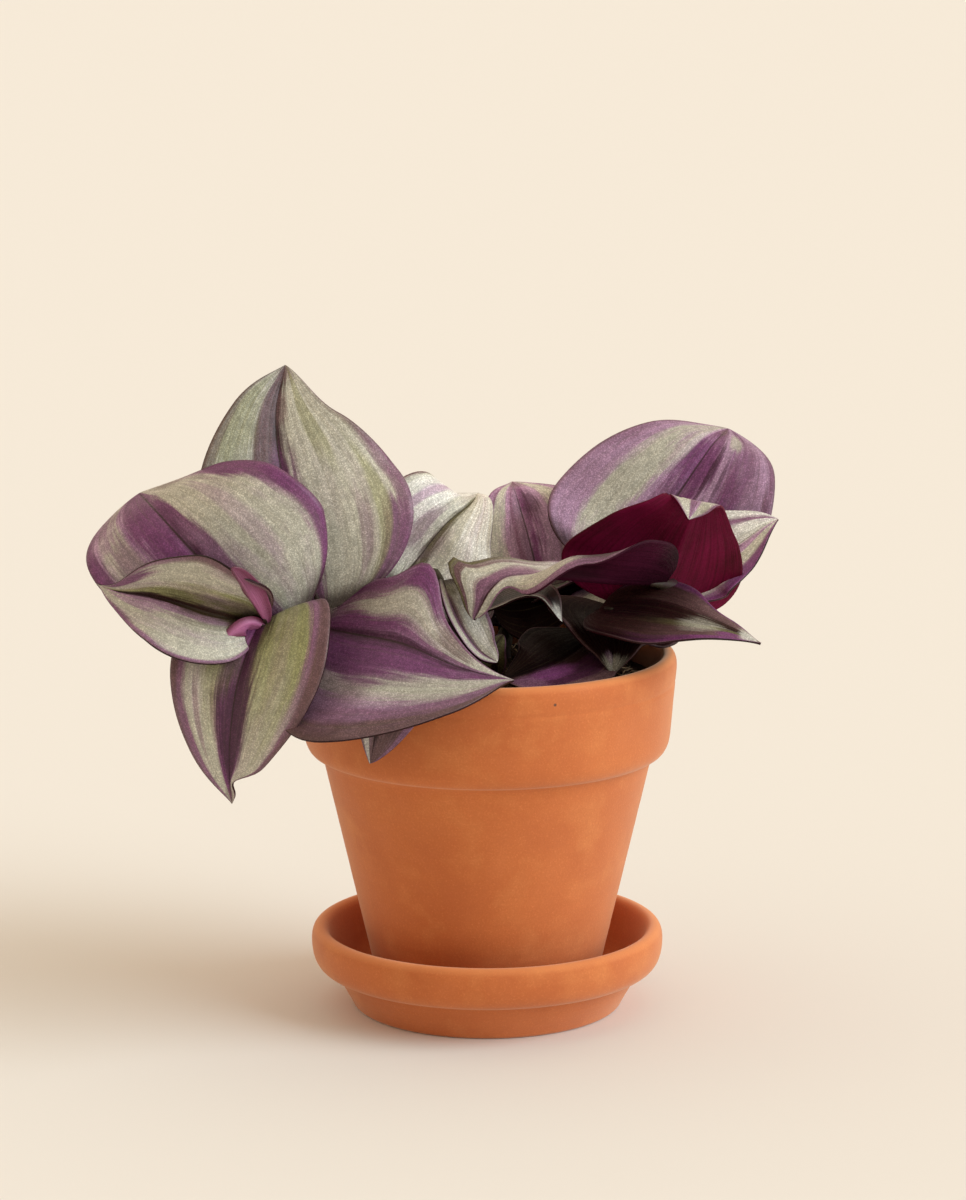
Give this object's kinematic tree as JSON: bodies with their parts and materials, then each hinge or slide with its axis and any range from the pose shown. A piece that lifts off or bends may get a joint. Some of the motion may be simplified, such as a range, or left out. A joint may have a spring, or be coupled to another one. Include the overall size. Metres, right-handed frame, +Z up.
{
  "type": "potted tradescantia",
  "caption": "Small striped trailing house plant with broad silver and purple leaves, growing in soil in a tapered clay pot on its saucer.",
  "frame": {"origin": "centre of the saucer's underside, on the pot's axis", "axes": "+Z up along the pot's axis, -Y towards the viewer of the picture, +X to the viewer's right"},
  "size_m": [0.1613, 0.1281, 0.1553],
  "materials": {
    "clay_saucer": "unglazed terracotta, matte",
    "clay_pot": "unglazed terracotta, matte, faint turning lines",
    "soil": "dark crumbly potting soil with pale fibres",
    "leaf": "silvery green bands with purple midrib and margins above, magenta below, soft sheen"
  },
  "bodies": {
    "root": {"saucer": "clay_saucer", "pot": "clay_pot", "soil": "soil", "left_shoot": "leaf", "middle_shoot": "leaf", "right_shoot": "leaf", "front_shoot": "leaf", "back_shoot": "leaf"}
  },
  "joints": []
}
